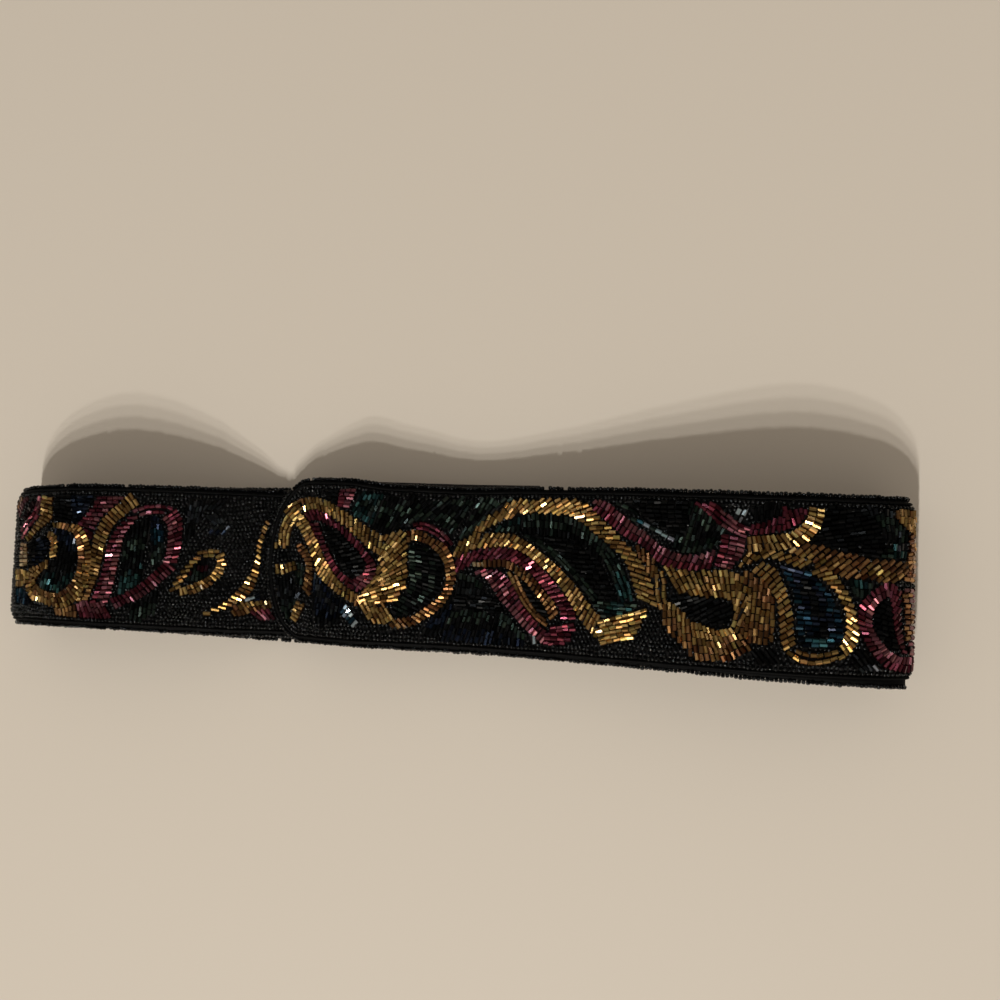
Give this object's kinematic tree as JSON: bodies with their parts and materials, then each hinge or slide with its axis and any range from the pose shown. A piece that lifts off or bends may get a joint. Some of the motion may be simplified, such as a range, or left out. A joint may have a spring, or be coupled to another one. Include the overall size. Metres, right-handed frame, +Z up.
{
  "type": "beaded belt",
  "caption": "Closed waist belt with an allover beaded paisley face, satin lining, piped and beaded edges, a rounded overlapping tongue and a hidden plain tail closure.",
  "frame": {"origin": "under the middle of the flattened loop, on the surface that it lies on", "axes": "+X along the flattened belt, from the end fold near the tongue's tip to the far end fold; +Y across the belt's width; +Z up"},
  "size_m": [0.3635, 0.0686, 0.028],
  "materials": {
    "beadwork": "glass beads on cloth, glossy, mostly black with gold, magenta, dark green and teal",
    "lining_satin": "black satin",
    "piping": "dark grey smooth piping",
    "edge_beads": "black glass seed beads",
    "tail_cloth": "plain black woven cloth",
    "hook_and_loop": "plain black closed fastening"
  },
  "bodies": {
    "root": {"beaded_band": "beadwork", "lining": "lining_satin", "edge_piping": "piping", "edge_bead_row": "edge_beads", "closure_tail": "tail_cloth", "closure_patch": "hook_and_loop"}
  },
  "joints": []
}
